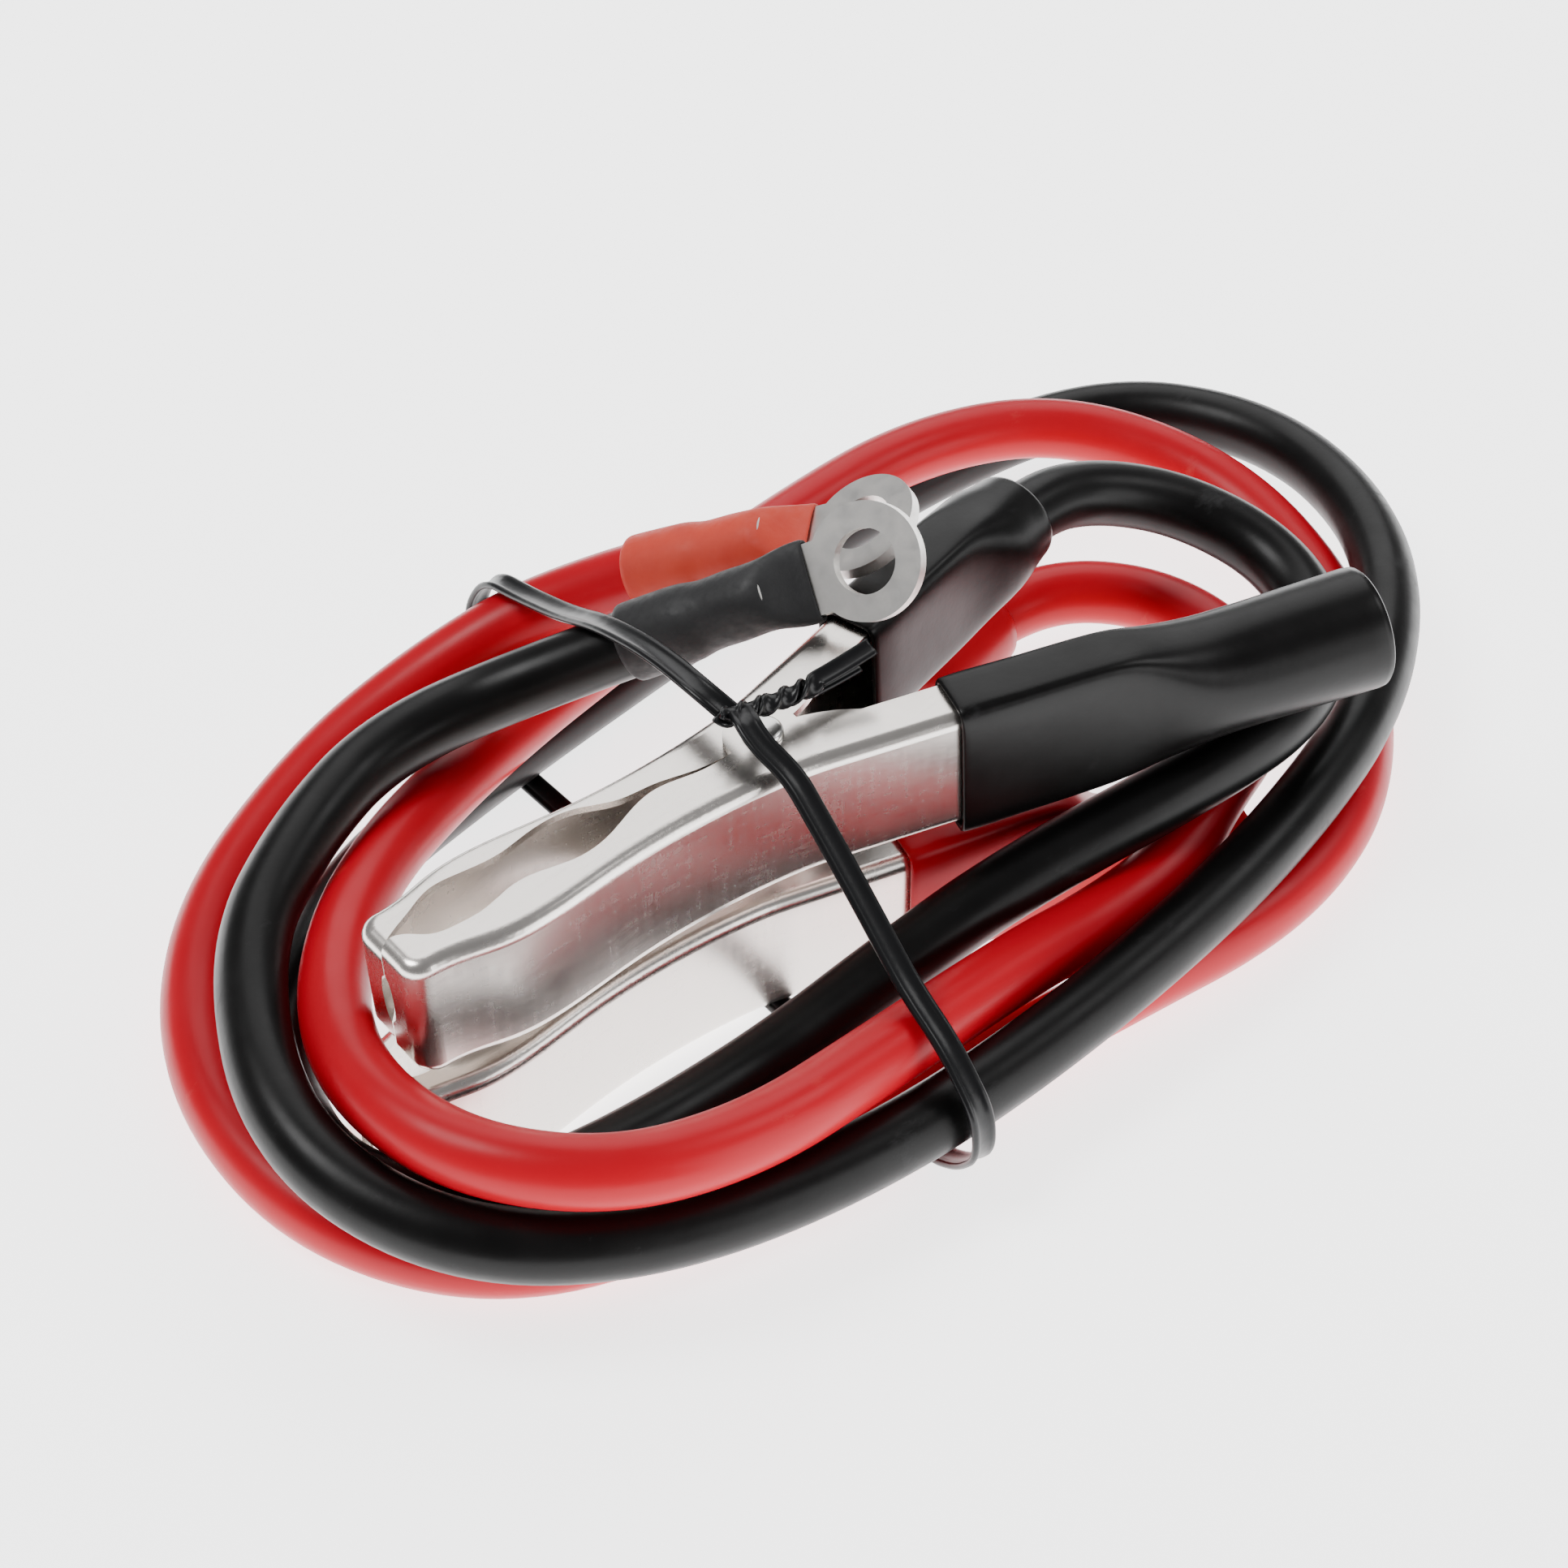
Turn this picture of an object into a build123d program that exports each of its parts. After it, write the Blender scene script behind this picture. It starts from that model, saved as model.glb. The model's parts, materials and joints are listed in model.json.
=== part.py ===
from build123d import *
import os
from math import cos, pi, radians, sin, sqrt, tan

# ---------------------------------------------------------------------------
# A pair of battery-clip leads, one black and one red, tied into one bundle.
# Each lead is a sprung clip, a length of cable and an M8 ring terminal.
# Millimetres.  +X runs along the clips from their noses to their handles,
# +Z is up, and z = 0 is the surface that the bundle lies on.
# ---------------------------------------------------------------------------

# Clip: a pair of pressed-steel channels that cross at a rivet.
# x is measured from the nose along the clip, y across it, z along the rivet.
sheet = 1.0                  # steel thickness
channel_width = 18.5         # outside height of the free lever's channel
bend_radius = 1.8            # outside radius where a channel's sheet is folded
nest_gap = 0.15              # between the flanges of the two nested channels
jaw_gap = 0.2                # between the two noses when the clip is shut
nose_half_width = 6.6        # web's distance from the middle, behind the nose
jaw_bulge_x = 11.5           # widest place of the jaw
jaw_bulge = 8.1              # web's distance from the middle there
jaw_waist_x = 30.0
jaw_waist = 7.2
pivot_x = 56.0               # rivet's distance from the nose
pivot_half_width = 8.1       # web's distance from the middle at the rivet
handle_start_x = 60.0        # where the handles begin to spread
handle_slope = 15.5          # degrees that each handle leans away from the middle
handle_half_width = 9.0      # web's distance from the middle at handle_start_x
metal_end_x = 100.0          # end of the steel inside the sleeve
handle_depth = 6.9           # flange width along the handle
ear_radius = 5.0             # round ear that holds the rivet
nose_radius = 3.0
tooth_hole = (1.2, 4.0)      # half width and half height of the hole between the noses

# Rivet and spring
rivet_radius = 1.5
rivet_clearance = 0.05
rivet_head_radius = 2.6
rivet_head_height = 0.9
head_gap = 0.1
spring_wire = 1.4
spring_mean_radius = 3.3
spring_turns = 5
spring_leg = 17.0
turn_gap = 0.2               # from the coil to the end turn that moves with the free lever
spring_fit = 0.25            # between the legs and the webs

# Handle sleeves
sleeve_wall = 1.0
sleeve_start_x = 77.0
sleeve_neck = 7.0            # length over which the sleeve goes from flat to round
press_neck = 10.0            # the same, where the end is pressed flat
sleeve_round_radius = 8.0    # outside radius past the end of the steel
cable_mouth_radius = 6.6     # outside radius where the cable leaves the sleeve
flat_mouth = (16.8, 9.4)     # outside size of a pressed-flat open end
flat_drop = 5.5              # a pressed-flat end's middle, below the clip's middle
sleeve_slack = 0.15
sleeve_corner = 0.4          # inside corner where the sleeve grips the steel
round_enough = 0.05          # left off a rounded square's corners to make it round

# Cable, crimp and ring terminal
cable_diameter = 9.0
bend_share = 0.45            # of the shorter run next to a bend, used up by the bend
clip_conductor_diameter = 3.6   # strands squeezed together at the clip
ring_conductor_diameter = 5.8   # strands inside the ring terminal's barrel
bare_length = 7.0            # stripped conductor at each end
crimp_wall = 0.5
crimp_length = 5.0
barrel_wall = 1.0
barrel_gap = 1.0             # from the end of the cable's jacket to the barrel
barrel_length = 11.0
tongue_thickness = 1.8
tongue_drop = 1.6            # tongue's middle below the barrel's middle
tongue_taper = 4.0           # length over which the barrel is pressed flat
eye_diameter = 15.3
ring_hole_diameter = 8.4     # clearance hole for an M8 stud
eye_reach = 13.0             # barrel's end to the middle of the eye
neck_width = 9.4
edge = 0.3                   # rounding where a flat section needs one
shrink_wall = 0.7
shrink_on_cable = 9.0        # length of heat-shrink over the cable
shrink_taper = 2.0
shrink_on_neck = 5.0         # and past the barrel's end

# Twist tie
tie_diameter = 1.0

tie_knot_radius = 1.3

# Mouth edge of each channel: how far it stands on its own side of the middle.
cable_mouth = [
    (2.2, 1.6), (6, 3.4), (10, 5.1), (14, 5.0), (20, 4.6), (24, 5.3), (31, 5.1),
    (36, 3.0), (41, 2.4), (46, 1.2), (56, 0.8), (62, 1.5),
]
free_mouth = [
    (3.5, 0.5), (5.5, 2.2), (9, 3.0), (13, 2.9), (17, 1.9), (20, 1.8), (26, 3.0), (31, 2.4),
    (35, 0.8), (40, -0.5), (46, 0.4), (52, 0.2), (58, -0.2), (64, 1.6),
]
mouth_end_x = 68.0           # where the mouth edge becomes the handle's straight edge

# Places: nose position, height of the clip's middle, turn about Z, rise
# toward the handles, and where each handle sleeve ends.
LEADS = {
    "black": {
        "nose": (-64.8, -5.75, 31.0), "yaw": -2.5, "rise": 3.0,
        "free_end_x": 134.0, "free_end_flat": False, "cable_end_x": 113.5,
        "ring_normal": (-0.6, -0.42, 0.68),
    },
    "red": {
        "nose": (-70.2, -6.25, 10.45), "yaw": 1.0, "rise": 0.0,
        "free_end_x": 126.0, "free_end_flat": True, "cable_end_x": 124.0,
        "ring_normal": (-0.25, -0.10, 0.96),
    },
}

# Where each cable runs, from inside its clip's sleeve to its ring terminal.
LEADS["black"]["route"] = [
    (39.3, 7.05, 36.5), (52.3, 10.05, 37.2), (64.8, 9.75, 34), (75.8, 2.75, 30),
    (80.8, -10.25, 26.5), (76.3, -23.25, 24.5), (64.3, -32.25, 24), (47.8, -34.35, 23.9),
    (15.8, -28.25, 18), (-3.7, -26.75, 13.5), (-25.2, -27.75, 11), (-52.5, -29, 13),
    (-70, -25.5, 14.2), (-79, -11, 14.2), (-74.7, 7.25, 15), (-48.7, 31.25, 12),
    (-14.7, 43.25, 6), (25.3, 50.25, 4.5), (69.3, 55.75, 5.5), (104.8, 49.75, 8.5),
    (119.3, 25.25, 10), (110.3, -5.75, 12.5), (83.3, -30.75, 15), (47.3, -43.75, 15.5),
    (9.3, -48.75, 13.5), (-25.2, -49.25, 12.5), (-55.7, -44.25, 14.5), (-76.7, -31.75, 18.5),
    (-83.7, -8.75, 22.5), (-71.2, 17.25, 25), (-54.7, 28.75, 26.5), (-36.7, 35.75, 27.5),
    (-15.2, 31.25, 30), (-1.2, 16.15, 41.3),
]
LEADS["red"]["route"] = [
    (33.3, 13.05, 10.5), (43.8, 16.15, 10.5), (55.3, 19.25, 10.5), (66.8, 16.75, 11),
    (74.8, 8.25, 11), (76.8, -3.75, 11.5), (72.3, -17.25, 12.5), (61.8, -25.75, 14),
    (48.8, -30.75, 14.6), (37.3, -35.75, 12.4), (22.8, -36.95, 12.5), (7.8, -38.25, 15.5),
    (-18.7, -42.25, 20), (-42.2, -45.25, 23.5), (-61.2, -40.25, 26), (-73.2, -23.75, 26.5),
    (-71.1, -0.25, 24.3), (-51.7, 22.25, 20.5), (-21.2, 36.75, 16.5), (11.3, 45.25, 14.5),
    (42.3, 50.75, 14.5), (70.3, 52.25, 15), (92.3, 42.75, 14.5), (104.3, 20.25, 10.5),
    (100.3, -6.25, 6), (84.8, -26.75, 4.5), (67.3, -39.75, 5), (46.8, -44.75, 4.5),
    (21.8, -43.25, 5.5), (-9.2, -41.25, 6), (-40.2, -38.75, 6), (-66.5, -30.5, 4.5),
    (-80.5, -8, 4.5), (-79.2, 19.25, 6), (-64.2, 40.75, 8.5), (-39.2, 51.25, 13.5),
    (-18.7, 51.6, 19.6), (-0.8, 45.6, 27.4), (10, 28.9, 38),
]
TIE = [
    (6.5, -9.2, 48), (-4, -8, 47.8), (-13.2, -6.6, 47.4), (-12.2, 9, 46.6), (-10.8, 22, 42.4),
    (-9.4, 32, 37), (-8, 43.5, 32.4), (-7.5, 51.7, 30.2), (-7.7, 55.9, 23), (-8.3, 54.5, 12),
    (-9, 50.8, 4.2), (-9.6, 46.3, 0.6), (-10.2, 0, 0.6), (-12.5, -45.8, 0.6),
    (-13.3, -51.5, 4.5), (-14.4, -55.8, 10.5), (-14.5, -55.3, 17), (-14, -48.5, 23),
    (-13.4, -40.5, 26.5), (-12.8, -28, 36.5), (-12.7, -18, 44.7), (-13.6, -12.5, 47),
    (-12.8, -8, 48.7), (-4, -9.4, 49.1), (6.5, -10.6, 49.3),
]


def web_y(x):
    """Outer face of a handle's web, as a distance from the clip's middle."""
    return handle_half_width + (x - handle_start_x) * tan(radians(handle_slope))


def web_edges(inset):
    """Line of the folded web, from the nose to the end of the steel."""
    corner = nose_radius - inset
    side = nose_half_width - inset
    handle_inset = inset / cos(radians(handle_slope))
    middle = (inset + corner * (1 - sqrt(0.5)), side - corner * (1 - sqrt(0.5)))
    nose = Line((inset, jaw_gap / 2), (inset, side - corner))
    bend = ThreePointArc((inset, side - corner), middle, (inset + corner, side))
    flank = Spline(
        (inset + corner, side),
        (jaw_bulge_x, jaw_bulge - inset),
        (jaw_waist_x, jaw_waist - inset),
        (pivot_x, pivot_half_width - inset),
        (handle_start_x, handle_half_width - handle_inset),
        tangents=((1, 0), (1, tan(radians(handle_slope)))),
    )
    handle = Line(flank @ 1, (metal_end_x, web_y(metal_end_x) - handle_inset))
    return [nose, bend, flank, handle]


def on_web(edge, width):
    """Whether an edge is one of the channel's outside folds."""
    middle = edge.position_at(0.5)
    web = Wire(web_edges(0))
    return abs(abs(middle.Z) - width / 2) < 1e-3 and web.distance_to(Vector(middle.X, middle.Y, 0)) < 0.02


def channel(width, mouth):
    """Half of a clip: one folded sheet that is jaw, rivet ear and handle."""
    inner = web_y(mouth_end_x) - handle_depth
    outline = web_edges(0)
    end_inner = (metal_end_x, web_y(metal_end_x) - handle_depth)
    outline.append(Line(outline[-1] @ 1, end_inner))
    outline.append(Line(end_inner, (mouth_end_x, inner)))
    outline.append(Spline((mouth_end_x, inner), *reversed(mouth), (0, jaw_gap / 2)))
    flange = make_face(outline) + Pos(pivot_x, 0) * Circle(ear_radius)
    body = extrude(flange, width / 2, both=True)
    folds = [e for e in body.edges() if on_web(e, width)]
    body = fillet(folds, bend_radius)
    inside = web_edges(sheet)
    far = -2 * ear_radius
    corners = [inside[-1] @ 1, (metal_end_x + sheet, (inside[-1] @ 1).Y), (metal_end_x + sheet, far), (sheet, far)]
    inside.append(Polyline(*corners, inside[0] @ 0))
    body -= extrude(make_face(inside), width / 2 - sheet, both=True)
    hole = Plane.YZ * Ellipse(tooth_hole[0], tooth_hole[1])
    body -= extrude(hole, 2 * sheet, both=True)
    return body - Pos(pivot_x, 0, 0) * Cylinder(rivet_radius + rivet_clearance, 2 * width)


def rivet():
    """Rivet with a domed head outside each flange of the free lever."""
    seat = channel_width / 2 + head_gap
    pin = Cylinder(rivet_radius, 2 * seat)
    for side in (1, -1):
        head = Cylinder(rivet_head_radius, rivet_head_height)
        rim = head.edges().sort_by(Axis.Z)[-1 if side > 0 else 0]
        head = fillet(rim, 0.7 * rivet_head_height)
        pin += Pos(0, 0, side * (seat + rivet_head_height / 2)) * head
    return Pos(pivot_x, 0, 0) * pin


def spring_leg_rod(side, height):
    """Straight leg from the coil out to the inside of one web."""
    leg_x = pivot_x + spring_leg
    reach = web_y(leg_x) - sheet / cos(radians(handle_slope)) - spring_fit - spring_wire / 2
    start = Vector(pivot_x, side * spring_mean_radius, height)
    end = Vector(leg_x, side * reach, height)
    return rod(start, end - start, (end - start).length, spring_wire / 2)


def spring():
    """Coil round the rivet, and its end turn, each with a leg along a web."""
    pitch = 0.93 * spring_wire
    top = pitch * (spring_turns - 1) / 2
    turn = Torus(spring_mean_radius, spring_wire / 2)
    coil = spring_leg_rod(1, top)
    for i in range(1, spring_turns):
        coil += Pos(pivot_x, 0, pitch * i - top) * turn
    low = -top - turn_gap
    end_turn = Pos(pivot_x, 0, low) * turn + spring_leg_rod(-1, low)
    return coil, end_turn


def sleeve(width, stations):
    """Plastic handle sleeve: a tube through sections square to the handle."""
    slope = radians(handle_slope)
    grip = (handle_depth * cos(slope) + 2 * sleeve_slack, width + 2 * sleeve_slack, sleeve_corner, 0)
    sections = [(sleeve_start_x, grip), (metal_end_x + sleeve_corner * 3, grip)] + stations
    solids = []
    for grow in (sleeve_wall, 0):
        faces = []
        for x, (deep, high, corner, drop) in sections:
            middle = web_y(x) - handle_depth / 2
            plane = Plane(
                origin=(x, middle, -drop),
                x_dir=(-sin(slope), cos(slope), 0),
                z_dir=(cos(slope), sin(slope), 0),
            )
            faces.append(plane * RectangleRounded(deep + 2 * grow, high + 2 * grow, corner + grow))
        solids.append(loft(faces, ruled=True))
    return solids[0] - solids[1]


def bore(radius):
    """Round inside section of a sleeve whose outside has the radius given."""
    inner = radius - sleeve_wall
    return (2 * inner, 2 * inner, inner - round_enough, 0)


def bend_radii(route):
    """Radius of each bend: as large as the runs on either side of it allow."""
    points = [Vector(*p) for p in route]
    radii = []
    for before, here, after in zip(points, points[1:], points[2:]):
        turn = radians((here - before).get_angle(after - here))
        shorter = min((here - before).length, (after - here).length)
        radii.append(bend_share * shorter / tan(turn / 2))
    return radii


def tube(name, route, diameter):
    """Round tube along a route, with its volume checked against its length."""
    radii = bend_radii(route)
    path = FilletPolyline(*route, radius=radii)
    solid = sweep(Plane(origin=path @ 0, z_dir=path % 0) * Circle(diameter / 2), path=path)
    expected = pi * diameter**2 / 4 * path.length
    print(f"{name}: length {path.length:.1f}, tightest bend {min(radii):.1f},",
          f"volume {solid.volume:.1f} against {expected:.1f}")
    return solid


def rod(start, direction, length, radius):
    """Straight cylinder from a point."""
    return extrude(Plane(origin=start, z_dir=direction) * Circle(radius), length)


def end_frame(lead):
    """Plane at a cable's last point: x along the lead, z square to the ring."""
    last, before = Vector(*lead["route"][-1]), Vector(*lead["route"][-2])
    along = (last - before).normalized()
    normal = Vector(*lead["ring_normal"])
    return Plane(origin=last, x_dir=along, z_dir=normal - along * along.dot(normal))


def across_lead(x, drop=0.0):
    """Plane square to the lead at x, in the ring terminal's own frame."""
    return Plane(origin=(x, 0, -drop), x_dir=(0, 1, 0), z_dir=(1, 0, 0))


def round_to_flat(start_x, radius, end_x, wide, thick):
    """Barrel pressed from round to flat."""
    faces = [
        across_lead(start_x) * RectangleRounded(2 * radius, 2 * radius, radius - round_enough),
        across_lead(end_x, tongue_drop) * RectangleRounded(wide, thick, edge),
    ]
    return loft(faces, ruled=True)


def ring_terminal():
    """Crimp barrel, flat tongue and eye, lying along +x from the cable's end."""
    radius = ring_conductor_diameter / 2 + barrel_wall
    barrel_end = barrel_gap + barrel_length
    eye_x = barrel_end + eye_reach
    neck_x = barrel_end + tongue_taper
    body = rod((barrel_gap, 0, 0), (1, 0, 0), barrel_length, radius)
    body += round_to_flat(barrel_end, radius, neck_x, neck_width, tongue_thickness)
    flat = Pos((neck_x + eye_x) / 2, 0) * Rectangle(eye_x - neck_x, neck_width)
    flat += Pos(eye_x, 0) * Circle(eye_diameter / 2)
    flat -= Pos(eye_x, 0) * Circle(ring_hole_diameter / 2)
    body += Pos(0, 0, -tongue_drop) * extrude(flat, tongue_thickness / 2, both=True)
    return body - rod((0, 0, 0), (1, 0, 0), bare_length + barrel_gap, ring_conductor_diameter / 2)


def heat_shrink():
    """Sleeve shrunk over the cable's end and the ring terminal's barrel."""
    over_cable = cable_diameter / 2 + shrink_wall
    over_barrel = ring_conductor_diameter / 2 + barrel_wall + shrink_wall
    barrel_end = barrel_gap + barrel_length
    body = rod((-shrink_on_cable, 0, 0), (1, 0, 0), shrink_on_cable, over_cable)
    cone = [across_lead(0) * Circle(over_cable), across_lead(shrink_taper) * Circle(over_barrel)]
    body += loft(cone, ruled=True)
    body += rod((shrink_taper, 0, 0), (1, 0, 0), barrel_end - shrink_taper, over_barrel)
    end_x = barrel_end + shrink_on_neck
    reach = neck_width + 2 * shrink_wall
    body += round_to_flat(barrel_end, over_barrel, end_x, reach, tongue_thickness + 3 * shrink_wall)
    return body


def lead_parts(colour, lead):
    """All the pieces of one lead, in the bundle's frame."""
    place = Pos(*lead["nose"]) * Rot(0, 0, lead["yaw"]) * Rot(0, -lead["rise"], 0)
    inner_width = channel_width - 2 * (sheet + nest_gap)
    inside_x = metal_end_x + (press_neck if lead["free_end_flat"] else sleeve_neck)
    free_end = bore(sleeve_round_radius)
    if lead["free_end_flat"]:
        wide, high = (side - 2 * sleeve_wall for side in flat_mouth)
        free_end = (wide, high, high / 2 - round_enough, flat_drop)
    free_stations = [(inside_x, free_end), (lead["free_end_x"], free_end)]
    cable_stations = [
        (metal_end_x + sleeve_neck, bore(sleeve_round_radius)),
        (lead["cable_end_x"], bore(cable_mouth_radius)),
    ]
    coil, end_turn = spring()
    parts = {
        "free_jaw": place * mirror(channel(channel_width, free_mouth), about=Plane.XZ),
        "cable_jaw": place * channel(inner_width, cable_mouth),
        "pivot_rivet": place * rivet(),
        "spring_coil": place * coil,
        "spring_end_turn": place * end_turn,
        "free_handle_sleeve": place * mirror(sleeve(channel_width, free_stations), about=Plane.XZ),
        "cable_handle_sleeve": place * sleeve(inner_width, cable_stations),
    }
    route = lead["route"]
    start, after = Vector(*route[0]), Vector(*route[1])
    back = (start - after).normalized()
    clip_radius = clip_conductor_diameter / 2
    stub = rod(start, back, bare_length, clip_radius)
    crimp_start = start + back * (bare_length - crimp_length)
    parts["cable"] = tube(colour, route, cable_diameter)
    parts["clip_conductor"] = stub
    parts["clip_crimp"] = rod(crimp_start, back, crimp_length, clip_radius + crimp_wall) - stub
    end = end_frame(lead).location
    ring_stub = end * rod((0, 0, 0), (1, 0, 0), bare_length + barrel_gap, ring_conductor_diameter / 2)
    parts["ring_terminal"] = end * ring_terminal()
    parts["ring_conductor"] = ring_stub
    shrink = end * heat_shrink()
    for inside in (parts["cable"], ring_stub, parts["ring_terminal"]):
        shrink -= inside
    parts["heat_shrink"] = shrink
    return {f"{colour}_{name}": solid for name, solid in parts.items()}


def twist_tie():
    """Wire tie round the bundle, twisted together where its ends meet."""
    return tube("tie", TIE, tie_diameter) + Pos(*TIE[2]) * Sphere(tie_knot_radius)


os.makedirs("parts", exist_ok=True)
nodes = {"twist_tie": twist_tie()}
for colour, lead in LEADS.items():
    nodes.update(lead_parts(colour, lead))
for name, solid in nodes.items():
    export_step(solid, f"parts/{name}.step")
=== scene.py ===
"""Looks of the tied pair of battery-clip leads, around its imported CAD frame.

The steel, rivets, springs, rings and conductors stay as the CAD made them and get
materials. The handle sleeves, heat-shrinks, cables and twist tie are modelled here.
"""

import bpy
import json
import math
from mathutils import Matrix, Vector


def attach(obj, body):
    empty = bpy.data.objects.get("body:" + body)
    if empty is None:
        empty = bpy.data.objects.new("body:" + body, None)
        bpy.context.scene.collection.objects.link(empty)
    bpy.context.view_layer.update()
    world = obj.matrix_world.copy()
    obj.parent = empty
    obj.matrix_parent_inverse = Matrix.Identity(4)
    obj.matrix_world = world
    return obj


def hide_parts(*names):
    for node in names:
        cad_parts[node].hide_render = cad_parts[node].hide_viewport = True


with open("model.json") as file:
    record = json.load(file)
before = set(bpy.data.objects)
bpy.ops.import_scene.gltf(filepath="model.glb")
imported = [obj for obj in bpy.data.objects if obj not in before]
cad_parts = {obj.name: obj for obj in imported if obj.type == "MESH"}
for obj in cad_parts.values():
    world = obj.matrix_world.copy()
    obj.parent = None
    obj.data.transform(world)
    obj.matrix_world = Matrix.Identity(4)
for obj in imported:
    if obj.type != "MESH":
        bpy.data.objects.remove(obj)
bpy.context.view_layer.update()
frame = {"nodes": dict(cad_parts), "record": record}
nodes = frame["nodes"]

MM = 0.001
CABLE = 0.009                               # cable's diameter

# Handle and skin sizes, in millimetres.
HANDLE_START_X = 60        # where the handles begin to spread, from the nose
HANDLE_HALF_WIDTH = 9.0    # handle web's distance from the clip's middle there
HANDLE_DEPTH = 6.9         # flange width along the handle
HANDLE_SLOPE = math.radians(15.5)
NESTING = 2.3              # the cable handle's channel is this much lower than the free one's
SLEEVE_WALL = 0.8
SHRINK_WALL = 0.6

# ---------------------------------------------------------------- camera
target = Vector((0.0103, 0.01125, 0.010))
azimuth, elevation, distance = math.radians(-40), math.radians(42), 0.474
back = Vector((
    math.sin(azimuth) * math.cos(elevation),
    -math.cos(azimuth) * math.cos(elevation),
    math.sin(elevation),
))
camera_data = bpy.data.cameras.new("camera")
camera_data.sensor_width = 36
camera_data.lens = 80.7
camera = bpy.data.objects.new("camera", camera_data)
bpy.context.collection.objects.link(camera)
camera.location = target + distance * back
camera.rotation_euler = back.to_track_quat("Z", "Y").to_euler()
bpy.context.scene.camera = camera

# ---------------------------------------------------------------- routes, in metres
BLACK_ROUTE = [
    (0.0393, 0.00705, 0.0365), (0.0523, 0.01005, 0.0372), (0.0648, 0.00975, 0.034),
    (0.0758, 0.00275, 0.03), (0.0808, -0.01025, 0.0265), (0.0763, -0.02325, 0.0245),
    (0.0643, -0.03225, 0.024), (0.0478, -0.03435, 0.0239), (0.0158, -0.02825, 0.018),
    (-0.0037, -0.02675, 0.0135), (-0.0252, -0.02775, 0.011), (-0.0525, -0.029, 0.013),
    (-0.07, -0.0255, 0.0142), (-0.079, -0.011, 0.0142), (-0.0747, 0.00725, 0.015),
    (-0.0487, 0.03125, 0.012), (-0.0147, 0.04325, 0.006), (0.0253, 0.05025, 0.0045),
    (0.0693, 0.05575, 0.0055), (0.1048, 0.04975, 0.0085), (0.1193, 0.02525, 0.01),
    (0.1103, -0.00575, 0.0125), (0.0833, -0.03075, 0.015), (0.0473, -0.04375, 0.0155),
    (0.0093, -0.04875, 0.0135), (-0.0252, -0.04925, 0.0125), (-0.0557, -0.04425, 0.0145),
    (-0.0767, -0.03175, 0.0185), (-0.0837, -0.00875, 0.0225), (-0.0712, 0.01725, 0.025),
    (-0.0547, 0.02875, 0.0265), (-0.0367, 0.03575, 0.0275), (-0.0152, 0.03125, 0.03),
    (-0.0012, 0.01615, 0.0413),
]
RED_ROUTE = [
    (0.0333, 0.01305, 0.0105), (0.0438, 0.01615, 0.0105), (0.0553, 0.01925, 0.0105),
    (0.0668, 0.01675, 0.011), (0.0748, 0.00825, 0.011), (0.0768, -0.00375, 0.0115),
    (0.0723, -0.01725, 0.0125), (0.0618, -0.02575, 0.014), (0.0488, -0.03075, 0.0146),
    (0.0373, -0.03575, 0.0124), (0.0228, -0.03695, 0.0125), (0.0078, -0.03825, 0.0155),
    (-0.0187, -0.04225, 0.02), (-0.0422, -0.04525, 0.0235), (-0.0612, -0.04025, 0.026),
    (-0.0732, -0.02375, 0.0265), (-0.0711, -0.00025, 0.0243), (-0.0517, 0.02225, 0.0205),
    (-0.0212, 0.03675, 0.0165), (0.0113, 0.04525, 0.0145), (0.0423, 0.05075, 0.0145),
    (0.0703, 0.05225, 0.015), (0.0923, 0.04275, 0.0145), (0.1043, 0.02025, 0.0105),
    (0.1003, -0.00625, 0.006), (0.0848, -0.02675, 0.0045), (0.0673, -0.03975, 0.005),
    (0.0468, -0.04475, 0.0045), (0.0218, -0.04325, 0.0055), (-0.0092, -0.04125, 0.006),
    (-0.0402, -0.03875, 0.006), (-0.0665, -0.0305, 0.0045), (-0.0805, -0.008, 0.0045),
    (-0.0792, 0.01925, 0.006), (-0.0642, 0.04075, 0.0085), (-0.0392, 0.05125, 0.0135),
    (-0.0187, 0.0516, 0.0196), (-0.0008, 0.0456, 0.0274), (0.01, 0.0289, 0.038),
]
TIE_LOOP = [
    (0.0065, -0.0092, 0.048), (-0.004, -0.008, 0.0478), (-0.0132, -0.0066, 0.0474),
    (-0.0122, 0.009, 0.0466), (-0.0108, 0.022, 0.0424), (-0.0094, 0.032, 0.037),
    (-0.008, 0.0435, 0.0324), (-0.0075, 0.0517, 0.0302), (-0.0077, 0.0559, 0.023),
    (-0.0083, 0.0545, 0.012), (-0.009, 0.0508, 0.0042), (-0.0096, 0.0463, 0.0006),
    (-0.0102, 0.0, 0.0006), (-0.0125, -0.0458, 0.0006), (-0.0133, -0.0515, 0.0045),
    (-0.0144, -0.0558, 0.0105), (-0.0145, -0.0553, 0.017), (-0.014, -0.0485, 0.023),
    (-0.0134, -0.0405, 0.0265), (-0.0128, -0.028, 0.0365), (-0.0127, -0.018, 0.0447),
    (-0.0136, -0.0125, 0.047), (-0.0128, -0.008, 0.0487), (-0.004, -0.0094, 0.0491),
    (0.0065, -0.0106, 0.0493),
]


# ---------------------------------------------------------------- materials
def new_material(name):
    """A material with its node tree, Principled shader and object coordinates."""
    mat = bpy.data.materials.new(name)
    mat.use_nodes = True
    tree = mat.node_tree
    shader = tree.nodes["Principled BSDF"]
    coords = tree.nodes.new("ShaderNodeTexCoord")
    return mat, tree, shader, coords.outputs["Object"]


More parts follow.
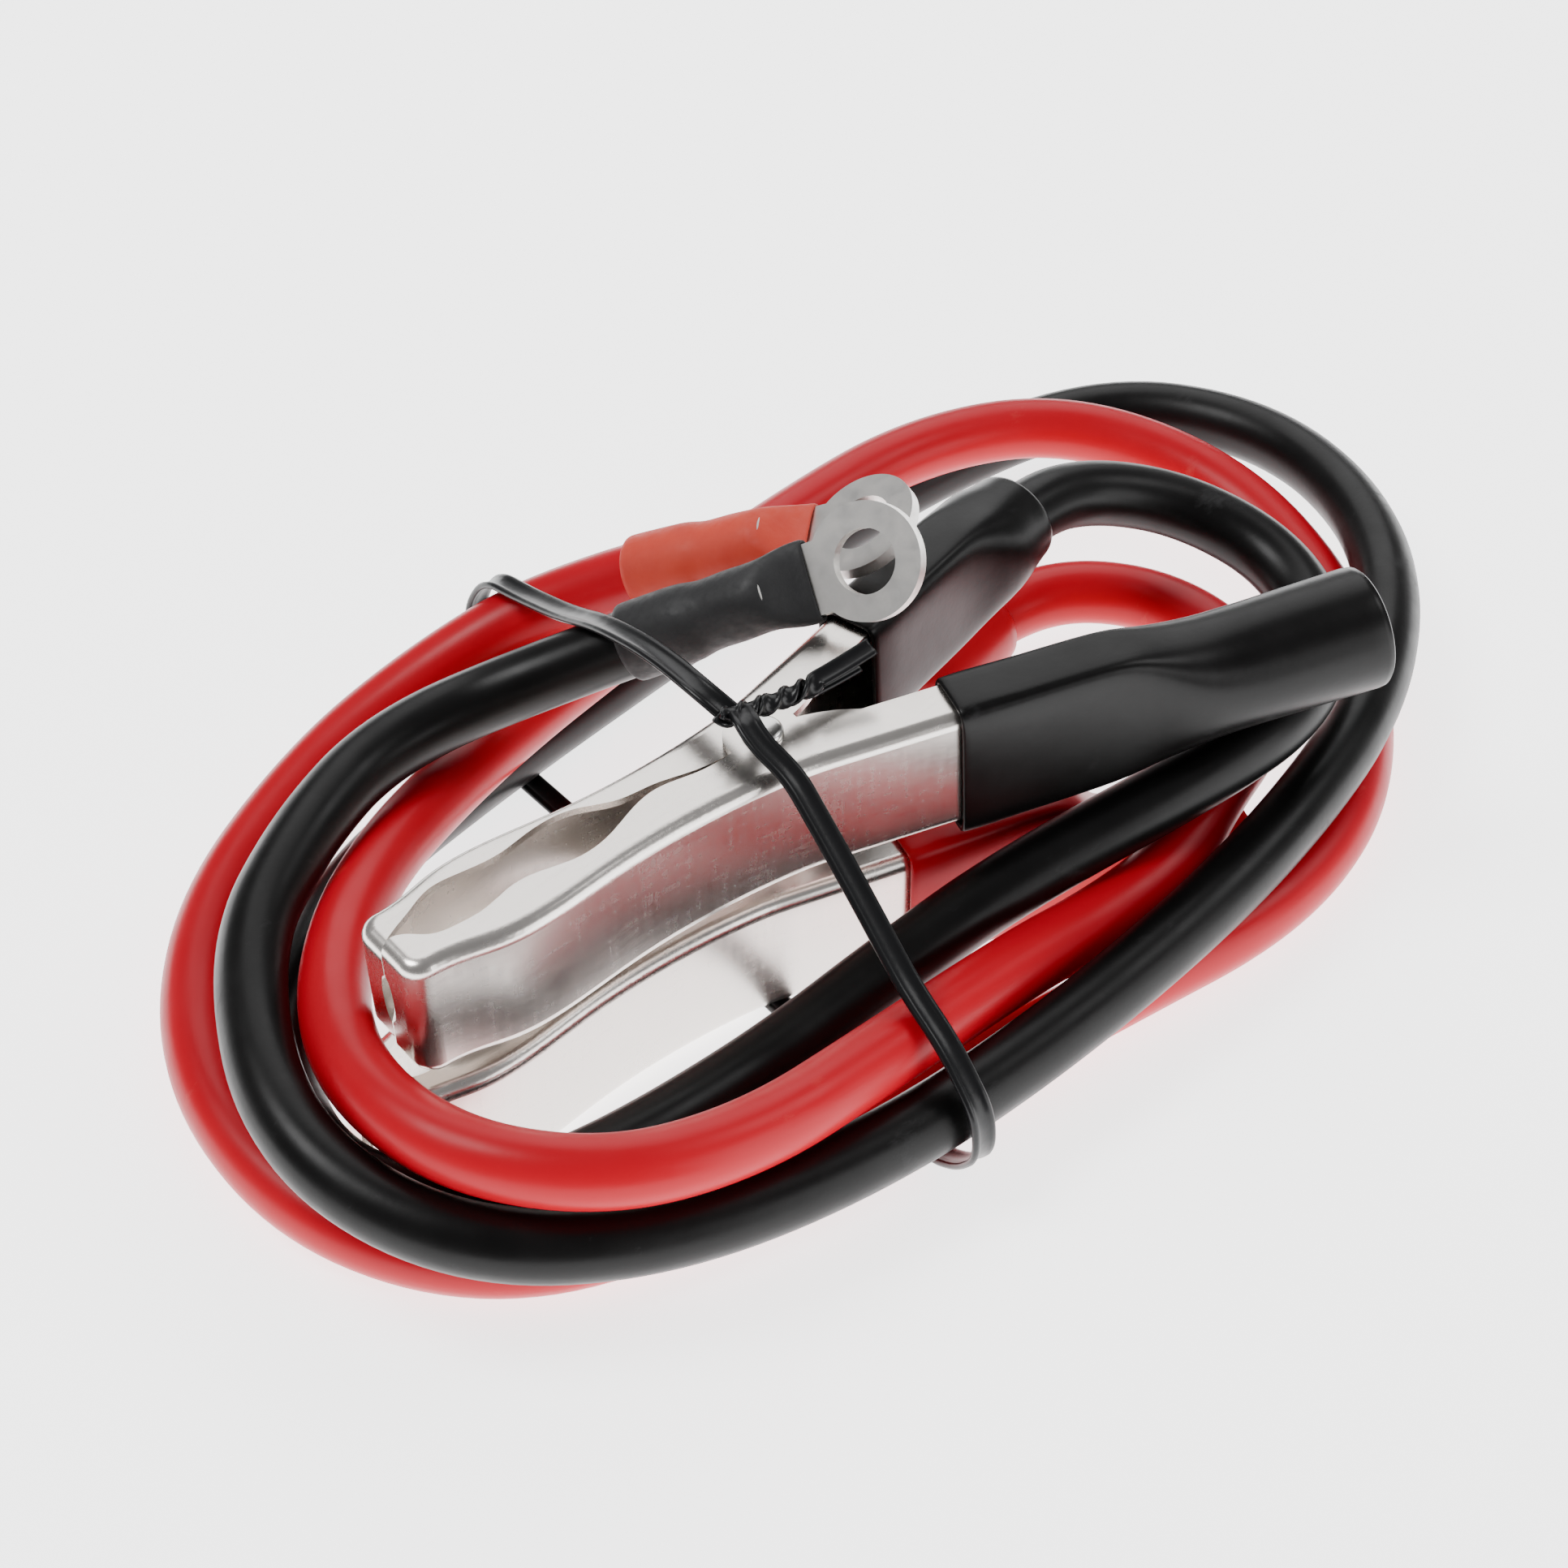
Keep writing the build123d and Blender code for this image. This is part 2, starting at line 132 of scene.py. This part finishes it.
def noise(tree, coords, scale, detail=4.0, stretch=None, rough=0.55):
    """Noise texture's value, over coordinates that may be stretched."""
    node = tree.nodes.new("ShaderNodeTexNoise")
    node.inputs["Scale"].default_value = scale
    node.inputs["Detail"].default_value = detail
    node.inputs["Roughness"].default_value = rough
    if stretch is not None:
        mapping = tree.nodes.new("ShaderNodeMapping")
        mapping.inputs["Scale"].default_value = stretch
        tree.links.new(coords, mapping.inputs["Vector"])
        coords = mapping.outputs["Vector"]
    tree.links.new(coords, node.inputs["Vector"])
    return node.outputs["Fac"]


def ramp(tree, value, low, high, out_low, out_high):
    """Map range with clamping."""
    node = tree.nodes.new("ShaderNodeMapRange")
    node.inputs["From Min"].default_value = low
    node.inputs["From Max"].default_value = high
    node.inputs["To Min"].default_value = out_low
    node.inputs["To Max"].default_value = out_high
    tree.links.new(value, node.inputs["Value"])
    return node.outputs["Result"]


def maths(tree, operation, a, b):
    """Math node over two values, each a number or a socket."""
    node = tree.nodes.new("ShaderNodeMath")
    node.operation = operation
    for socket, value in zip(node.inputs, (a, b)):
        if isinstance(value, (int, float)):
            socket.default_value = value
        else:
            tree.links.new(value, socket)
    return node.outputs["Value"]


def bump(tree, shader, height, distance, strength=1.0):
    """Bump the shader's normal by a height, to a depth in metres."""
    node = tree.nodes.new("ShaderNodeBump")
    node.inputs["Strength"].default_value = strength
    node.inputs["Distance"].default_value = distance
    tree.links.new(height, node.inputs["Height"])
    tree.links.new(node.outputs["Normal"], shader.inputs["Normal"])


def colour_mix(tree, shader, factor, a, b):
    """Base colour that runs from a to b with the factor."""
    node = tree.nodes.new("ShaderNodeMix")
    node.data_type = "RGBA"
    node.inputs["A"].default_value = (*a, 1)
    node.inputs["B"].default_value = (*b, 1)
    tree.links.new(factor, node.inputs["Factor"])
    tree.links.new(node.outputs["Result"], shader.inputs["Base Color"])


def steel(name, colour, rough):
    """Satin nickel plate with fine brush marks both ways."""
    mat, tree, shader, coords = new_material(name)
    shader.inputs["Metallic"].default_value = 1.0
    along = noise(tree, coords, 120, 3, (1, 10, 10))
    up = noise(tree, coords, 120, 3, (10, 10, 1))
    marks = maths(tree, "ADD", along, up)
    cloud = noise(tree, coords, 60, 3)
    marks_part = maths(tree, "MULTIPLY", marks, 0.5)
    cloud_part = maths(tree, "MULTIPLY", cloud, 0.4)
    worn = maths(tree, "ADD", marks_part, cloud_part)
    dulling = ramp(tree, worn, 0.5, 0.9, rough - 0.02, rough + 0.04)
    tree.links.new(dulling, shader.inputs["Roughness"])
    darker = tuple(c * 0.97 for c in colour)
    colour_mix(tree, shader, ramp(tree, worn, 0.52, 0.88, 0, 1), colour, darker)
    grain = noise(tree, coords, 2600, 2)
    bump(tree, shader, grain, 0.000008, 0.3)
    return mat


def pvc(name, colour, scuff, rough):
    """Satin plastic with a fine grain and a few dull scuffs."""
    mat, tree, shader, coords = new_material(name)
    grain = noise(tree, coords, 1400, 3)
    wave = noise(tree, coords, 120, 4)
    marks = noise(tree, coords, 75, 6, (1, 2.2, 1.4), 0.7)
    dull = ramp(tree, marks, 0.62, 0.74, 0, 1)
    colour_mix(tree, shader, maths(tree, "MULTIPLY", dull, 0.55), colour, scuff)
    base = ramp(tree, wave, 0.3, 0.7, rough - 0.05, rough + 0.06)
    scuffed = maths(tree, "ADD", base, maths(tree, "MULTIPLY", dull, 0.18))
    tree.links.new(scuffed, shader.inputs["Roughness"])
    shader.inputs["Specular IOR Level"].default_value = 0.22
    height = maths(tree, "ADD", maths(tree, "MULTIPLY", grain, 0.12), wave)
    bump(tree, shader, height, 0.00012, 0.5)
    return mat


def shrink(name, colour, light):
    """Matte heat-shrink with faint puckers."""
    mat, tree, shader, coords = new_material(name)
    fine = noise(tree, coords, 900, 4)
    pucker = noise(tree, coords, 160, 3)
    colour_mix(tree, shader, ramp(tree, pucker, 0.35, 0.7, 0, 1), colour, light)
    tree.links.new(ramp(tree, fine, 0.3, 0.7, 0.5, 0.68), shader.inputs["Roughness"])
    bump(tree, shader, maths(tree, "ADD", fine, pucker), 0.0001, 0.5)
    return mat


def tinned(name):
    """Tin-plated copper, mottled."""
    mat, tree, shader, coords = new_material(name)
    shader.inputs["Metallic"].default_value = 1.0
    mottle = noise(tree, coords, 420, 5)
    bright, dull = (0.86, 0.84, 0.81), (0.70, 0.68, 0.65)
    colour_mix(tree, shader, ramp(tree, mottle, 0.35, 0.65, 0, 1), bright, dull)
    tree.links.new(ramp(tree, mottle, 0.3, 0.7, 0.34, 0.48), shader.inputs["Roughness"])
    bump(tree, shader, mottle, 0.00006, 0.4)
    return mat


def copper(name):
    """Bare stranded copper."""
    mat, tree, shader, coords = new_material(name)
    shader.inputs["Metallic"].default_value = 1.0
    strands = noise(tree, coords, 700, 2, (0.2, 3, 3))
    colour_mix(tree, shader, strands, (0.80, 0.42, 0.25), (0.45, 0.20, 0.10))
    shader.inputs["Roughness"].default_value = 0.35
    bump(tree, shader, strands, 0.0002)
    return mat


def tie_plastic(name):
    """Glossy black plastic of the twist tie."""
    mat, tree, shader, coords = new_material(name)
    wave = noise(tree, coords, 500, 3)
    colour_mix(tree, shader, wave, (0.004, 0.004, 0.0045), (0.008, 0.008, 0.009))
    shader.inputs["Specular IOR Level"].default_value = 0.3
    shader.inputs["Roughness"].default_value = 0.3
    bump(tree, shader, wave, 0.0001, 0.4)
    return mat


RED = (0.52, 0.0, 0.012)
BLACK = (0.0025, 0.0022, 0.0022)
finish = {
    "clip_steel": steel("clip_steel", (0.84, 0.79, 0.745), 0.25),
    "rivet_steel": steel("rivet_steel", (0.74, 0.73, 0.71), 0.22),
    "spring_steel": steel("spring_steel", (0.45, 0.45, 0.45), 0.3),
    "black_sleeve_pvc": pvc("black_sleeve_pvc", BLACK, (0.012, 0.012, 0.013), 0.33),
    "red_sleeve_pvc": pvc("red_sleeve_pvc", RED, (0.50, 0.02, 0.018), 0.33),
    "black_cable_pvc": pvc("black_cable_pvc", BLACK, (0.03, 0.03, 0.031), 0.36),
    "red_cable_pvc": pvc("red_cable_pvc", RED, (0.60, 0.05, 0.045), 0.34),
    "tinned_copper": tinned("tinned_copper"),
    "bare_copper": copper("bare_copper"),
    "black_heat_shrink": shrink("black_heat_shrink", (0.006, 0.006, 0.007), (0.012, 0.012, 0.013)),
    "red_heat_shrink": shrink("red_heat_shrink", (0.60, 0.035, 0.014), (0.68, 0.055, 0.024)),
    "tie_plastic": tie_plastic("tie_plastic"),
}
for part in frame["record"]["subparts"]:
    mesh = nodes[part["node"]].data
    mesh.materials.clear()
    mesh.materials.append(finish[part["material_slot"]])


# ---------------------------------------------------------------- shapes
def link(name, data):
    """An object of this data, in the scene."""
    obj = bpy.data.objects.new(name, data)
    bpy.context.collection.objects.link(obj)
    return obj


def nurbs(name, points, radius=0.0):
    """A NURBS curve with these control points."""
    data = bpy.data.curves.new(name, "CURVE")
    data.dimensions = "3D"
    data.resolution_u = 12
    data.bevel_depth = radius
    data.bevel_resolution = 10
    spline = data.splines.new("NURBS")
    spline.points.add(len(points) - 1)
    for place, point in zip(spline.points, points):
        place.co = (*point, 1)
    spline.order_u = 3
    spline.use_endpoint_u = True
    data.use_fill_caps = True
    return link(name, data)


def superellipse(wide, high, power, count=40):
    """Points round a section that is a circle at power 2 and nearly square at 8."""
    points = []
    for i in range(count):
        angle = 2 * math.pi * (i + 0.5) / count
        c, s = math.cos(angle), math.sin(angle)
        points.append((
            wide / 2 * math.copysign(abs(c) ** (2 / power), c),
            high / 2 * math.copysign(abs(s) ** (2 / power), s),
        ))
    return points


def skin(name, rings, wall=0.0, levels=1, closed_ends=False):
    """Mesh through rings of points, smooth, with a wall where one is given."""
    count = len(rings[0])
    verts = [p for ring in rings for p in ring]
    faces = []
    for r in range(len(rings) - 1):
        for i in range(count):
            j = (i + 1) % count
            low, high = r * count, (r + 1) * count
            faces.append((low + i, low + j, high + j, high + i))
    if closed_ends:
        faces.append(tuple(reversed(range(count))))
        faces.append(tuple(range((len(rings) - 1) * count, len(rings) * count)))
    mesh = bpy.data.meshes.new(name)
    mesh.from_pydata(verts, [], faces)
    mesh.update()
    for face in mesh.polygons:
        face.use_smooth = True
    obj = link(name, mesh)
    if wall:
        solid = obj.modifiers.new("wall", "SOLIDIFY")
        solid.thickness = wall
        solid.offset = -1
        solid.use_even_offset = True
    if levels:
        smooth = obj.modifiers.new("smooth", "SUBSURF")
        smooth.levels = smooth.render_levels = levels
    return obj


# ---------------------------------------------------------------- handle sleeves
def clip_place(nose, yaw, rise):
    """From a clip's own axes, which start at its nose, to the frame's."""
    return (
        Matrix.Translation(nose)
        @ Matrix.Rotation(math.radians(yaw), 4, "Z")
        @ Matrix.Rotation(math.radians(-rise), 4, "Y")
    )


CLIPS = {
    "black": clip_place((-0.0648, -0.00575, 0.031), -2.5, 3.0),
    "red": clip_place((-0.0702, -0.00625, 0.01045), 1.0, 0.0),
}


def handle_middle(x):
    """Middle of a handle, as a distance from the clip's middle."""
    spread = (x - HANDLE_START_X) * math.tan(HANDLE_SLOPE)
    return (HANDLE_HALF_WIDTH + spread - HANDLE_DEPTH / 2) * MM


def sleeve(name, colour, side, stations, body, node):
    """Handle sleeve through stations of (x, wide, high, power, drop), in mm."""
    rings = []
    for x, wide, high, power, drop in stations:
        middle = Vector((x * MM, handle_middle(x), -drop * MM))
        across = Vector((-math.sin(HANDLE_SLOPE), math.cos(HANDLE_SLOPE), 0))
        ring = []
        for u, v in superellipse(wide * MM, high * MM, power):
            point = middle + across * u + Vector((0, 0, v))
            point.y *= side
            ring.append(CLIPS[colour] @ point)
        rings.append(ring if side > 0 else ring[::-1])
    obj = skin(name, rings, wall=SLEEVE_WALL * MM)
    obj.data.materials.append(finish[f"{colour}_sleeve_pvc"])
    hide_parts(node)
    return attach(obj, body)


# Stations of (x, wide, high, power, drop): the grip on the steel, then each kind of end.
FREE_GRIP = [
    (77.0, 9.1, 20.9, 7, 0), (77.6, 9.2, 21.0, 7, 0), (81, 9.5, 21.3, 6, 0),
    (84.5, 9.1, 20.8, 7, 0), (90, 9.0, 20.8, 7, 0), (96, 9.0, 20.7, 7, 0),
]
CABLE_GRIP = [(x, wide, high - NESTING, power, drop) for x, wide, high, power, drop in FREE_GRIP]
ROUND_END = [
    (100, 9.3, 20.2, 6, 0), (103.5, 10.9, 18.2, 4, 0), (107, 13.6, 16.6, 2.8, 0),
    (111, 15.2, 15.7, 2.2, 0), (116, 15.9, 15.7, 2, 0), (124, 16.1, 16.1, 2, 0),
    (132, 16.3, 16.3, 2, 0), (133.9, 16.4, 16.4, 2, 0),
]
FLAT_END = [
    (100, 9.3, 20.4, 6, 0.1), (103, 10.8, 18.0, 5, 1.2), (106.5, 13.4, 13.6, 4, 3.4),
    (110, 16.2, 10.0, 3.4, 5.2), (114, 16.8, 9.4, 3.2, 5.5), (120, 16.9, 9.3, 3, 5.5),
    (125.9, 17.0, 9.5, 2.8, 5.5),
]
MOUTH_NECK = [(100, 9.6, 18.2, 5, 0), (103.5, 12.0, 16.8, 3.2, 0), (107, 14.6, 15.6, 2.4, 0)]
SHORT_MOUTH = MOUTH_NECK + [(110, 14.0, 14.4, 2, 0), (112.4, 13.2, 13.4, 2, 0), (113.5, 13.2, 13.2, 2, 0)]
LONG_MOUTH = MOUTH_NECK + [(113, 14.4, 14.6, 2, 0), (120, 13.5, 13.5, 2, 0), (123.9, 13.2, 13.2, 2, 0)]
FREE_SIDE, CABLE_SIDE = -1, 1
for colour, end in (("black", ROUND_END), ("red", FLAT_END)):
    sleeve(
        f"{colour}_free_sleeve", colour, FREE_SIDE, FREE_GRIP + end,
        f"{colour}_free_lever", f"{colour}_free_handle_sleeve",
    )
for colour, mouth in (("black", SHORT_MOUTH), ("red", LONG_MOUTH)):
    sleeve(
        f"{colour}_cable_sleeve", colour, CABLE_SIDE, CABLE_GRIP + mouth,
        "bundle", f"{colour}_cable_handle_sleeve",
    )

# ---------------------------------------------------------------- heat-shrinks
# Which way each ring's flat faces, and stations along the cable from its end.
RING_NORMAL = {"black": (-0.6, -0.42, 0.68), "red": (-0.25, -0.10, 0.96)}
SHRINK = [
    (-9.0, 10.3, 10.3, 2, 0), (-8.6, 10.6, 10.6, 2, 0), (-6, 10.5, 10.5, 2, 0), (-2, 10.5, 10.5, 2, 0),
    (0.2, 10.3, 10.3, 2, 0), (1.8, 9.5, 9.5, 2, 0), (3.6, 9.2, 9.3, 2, 0), (6.5, 9.6, 9.5, 2, 0),
    (9, 9.3, 9.4, 2, 0), (11.4, 9.3, 9.2, 2, 0), (13.2, 10.2, 7.0, 2.4, 0.7), (15, 10.9, 4.6, 3, 1.3),
    (16.6, 11.0, 3.5, 3.4, 1.6), (17.4, 10.9, 3.4, 3.4, 1.6),
]


def heat_shrink(colour, route):
    """Shrunk sleeve over the cable's end and the terminal's barrel."""
    last, before = Vector(route[-1]), Vector(route[-2])
    along = (last - before).normalized()
    normal = Vector(RING_NORMAL[colour])
    normal = (normal - along * along.dot(normal)).normalized()
    across = normal.cross(along)
    rings = []
    for x, wide, high, power, drop in SHRINK:
        middle = last + along * (x * MM) - normal * (drop * MM)
        rings.append([
            middle + across * u + normal * v for u, v in superellipse(wide * MM, high * MM, power)
        ])
    obj = skin(f"{colour}_shrink_skin", rings, wall=SHRINK_WALL * MM)
    obj.data.materials.append(finish[f"{colour}_heat_shrink"])
    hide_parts(f"{colour}_heat_shrink")
    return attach(obj, "bundle")


# ---------------------------------------------------------------- cables
for colour, route in (("black", BLACK_ROUTE), ("red", RED_ROUTE)):
    cover = heat_shrink(colour, route)
    cable = nurbs(f"{colour}_cable_jacket", route, CABLE / 2)
    cable.data.materials.append(finish[f"{colour}_cable_pvc"])
    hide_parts(f"{colour}_cable")
    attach(cable, "bundle")

# ---------------------------------------------------------------- twist tie
# Section of the ribbon, in mm: a thin web with a round rib along each edge.
RIBBON = [
    (-1.8, 0.0), (-1.65, 0.34), (-1.3, 0.48), (-0.9, 0.34), (-0.6, 0.2), (0.6, 0.2), (0.9, 0.34),
    (1.3, 0.48), (1.65, 0.34), (1.8, 0.0), (1.65, -0.34), (1.3, -0.48), (0.9, -0.34), (0.6, -0.2),
    (-0.6, -0.2), (-0.9, -0.34), (-1.3, -0.48), (-1.65, -0.34),
]


def rounded(points, share=0.45, steps=8):
    """The route with each corner turned into a smooth bend."""
    points = [Vector(p) for p in points]
    path = [points[0]]
    for before, here, after in zip(points, points[1:], points[2:]):
        reach = share * min((here - before).length, (after - here).length)
        start = here + (before - here).normalized() * reach
        end = here + (after - here).normalized() * reach
        for i in range(steps + 1):
            t = i / steps
            path.append(start * (1 - t) ** 2 + here * (2 * t * (1 - t)) + end * t ** 2)
    path.append(points[-1])
    return path


def ribbon(name, path, width_axis, scale=1.0):
    """Two-ribbed ribbon along a path; width_axis(i, along) gives its flat's direction."""
    rings = []
    for i, point in enumerate(path):
        along = (path[min(i + 1, len(path) - 1)] - path[max(i - 1, 0)]).normalized()
        width = width_axis(i, along)
        width = (width - along * along.dot(width)).normalized()
        normal = along.cross(width)
        rings.append([point + (width * u + normal * v) * (MM * scale) for u, v in RIBBON])
    obj = skin(name, rings, levels=0, closed_ends=True)
    obj.data.materials.append(finish["tie_plastic"])
    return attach(obj, "bundle")


LOOP_START, LOOP_END = 2, 23     # the points of TIE_LOOP that go round, from the knot and back to it
TAIL_STEPS = 60
TAIL_SCALE = 0.72                # tails are twisted thin
TWIST_TURNS = 2.2
TWISTED_SHARE = 0.62             # of a tail, before its two ends part
TWIST_EASE = 0.9
TAIL_SPREAD, END_SPREAD = 0.85, 0.55    # mm from the tails' middle, and what the ends add
TAIL_SAG = 0.0012                # in metres
SHORTER = 0.08                   # second tail, as a share of the first

loop = rounded(TIE_LOOP[LOOP_START:LOOP_END])
band = ribbon("twist_tie_band", loop, lambda i, along: Vector((1, 0, 0)))
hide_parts("twist_tie")
knot = Vector(TIE_LOOP[LOOP_START]) + Vector((0, -0.0005, 0.0006))
tail_end = Vector(TIE_LOOP[0]) + Vector((0.0, -0.0006, 0.0006))
for half in (0, 1):
    path, widths = [], []
    start = knot - Vector((0.0015, 0, 0))
    axis = (tail_end - start).normalized()
    up = Vector((0, 0, 1))
    side = axis.cross(up).normalized()
    up = side.cross(axis)
    for i in range(TAIL_STEPS + 1):
        t = i / TAIL_STEPS
        twisted = min(t / TWISTED_SHARE, 1) ** TWIST_EASE
        turn = math.pi * half + 2 * math.pi * TWIST_TURNS * twisted
        parted = max(0, t - TWISTED_SHARE) / (1 - TWISTED_SHARE)
        spread = (TAIL_SPREAD + END_SPREAD * parted) * MM
        out = side * math.cos(turn) + up * math.sin(turn)
        sag = up * (-TAIL_SAG * math.sin(math.pi * t))
        along = (tail_end - start) * (t * (1 - SHORTER * half))
        path.append(start + along + out * spread + sag)
        widths.append(out)
    ribbon(f"twist_tie_tail_{half}", path, lambda i, along: widths[i].cross(along), TAIL_SCALE)

# ---------------------------------------------------------------- floor, light
bpy.ops.mesh.primitive_plane_add(size=6, location=(0, 0, 0))
floor = bpy.context.object
floor.name = "floor"
floor_mat = bpy.data.materials.new("floor")
floor_mat.use_nodes = True
floor_look = floor_mat.node_tree.nodes["Principled BSDF"].inputs
floor_look["Base Color"].default_value = (0.93, 0.93, 0.93, 1)
floor_look["Roughness"].default_value = 0.6
floor_look["Emission Color"].default_value = (1, 1, 1, 1)
floor_look["Emission Strength"].default_value = 2.8
floor.data.materials.append(floor_mat)

world = bpy.data.worlds.new("world")
bpy.context.scene.world = world
world.use_nodes = True
sky = world.node_tree.nodes["Background"].inputs
sky["Color"].default_value = (0.97, 0.98, 1, 1)
sky["Strength"].default_value = 0.22


def area_light(name, place, size, power):
    """White square light of this size and power, aimed at the part."""
    data = bpy.data.lights.new(name, "AREA")
    data.size = size
    data.energy = power
    lamp = link(name, data)
    lamp.location = place
    lamp.rotation_euler = (Vector(place) - target).to_track_quat("Z", "Y").to_euler()


area_light("key", (-0.45, 0.30, 1.0), 0.45, 8)
area_light("fill", (0.75, -0.35, 0.9), 0.4, 2.5)
area_light("front", (0.35, -0.75, 0.22), 0.5, 3)
area_light("panel", (0.54, 0.64, 0.75), 0.9, 6)
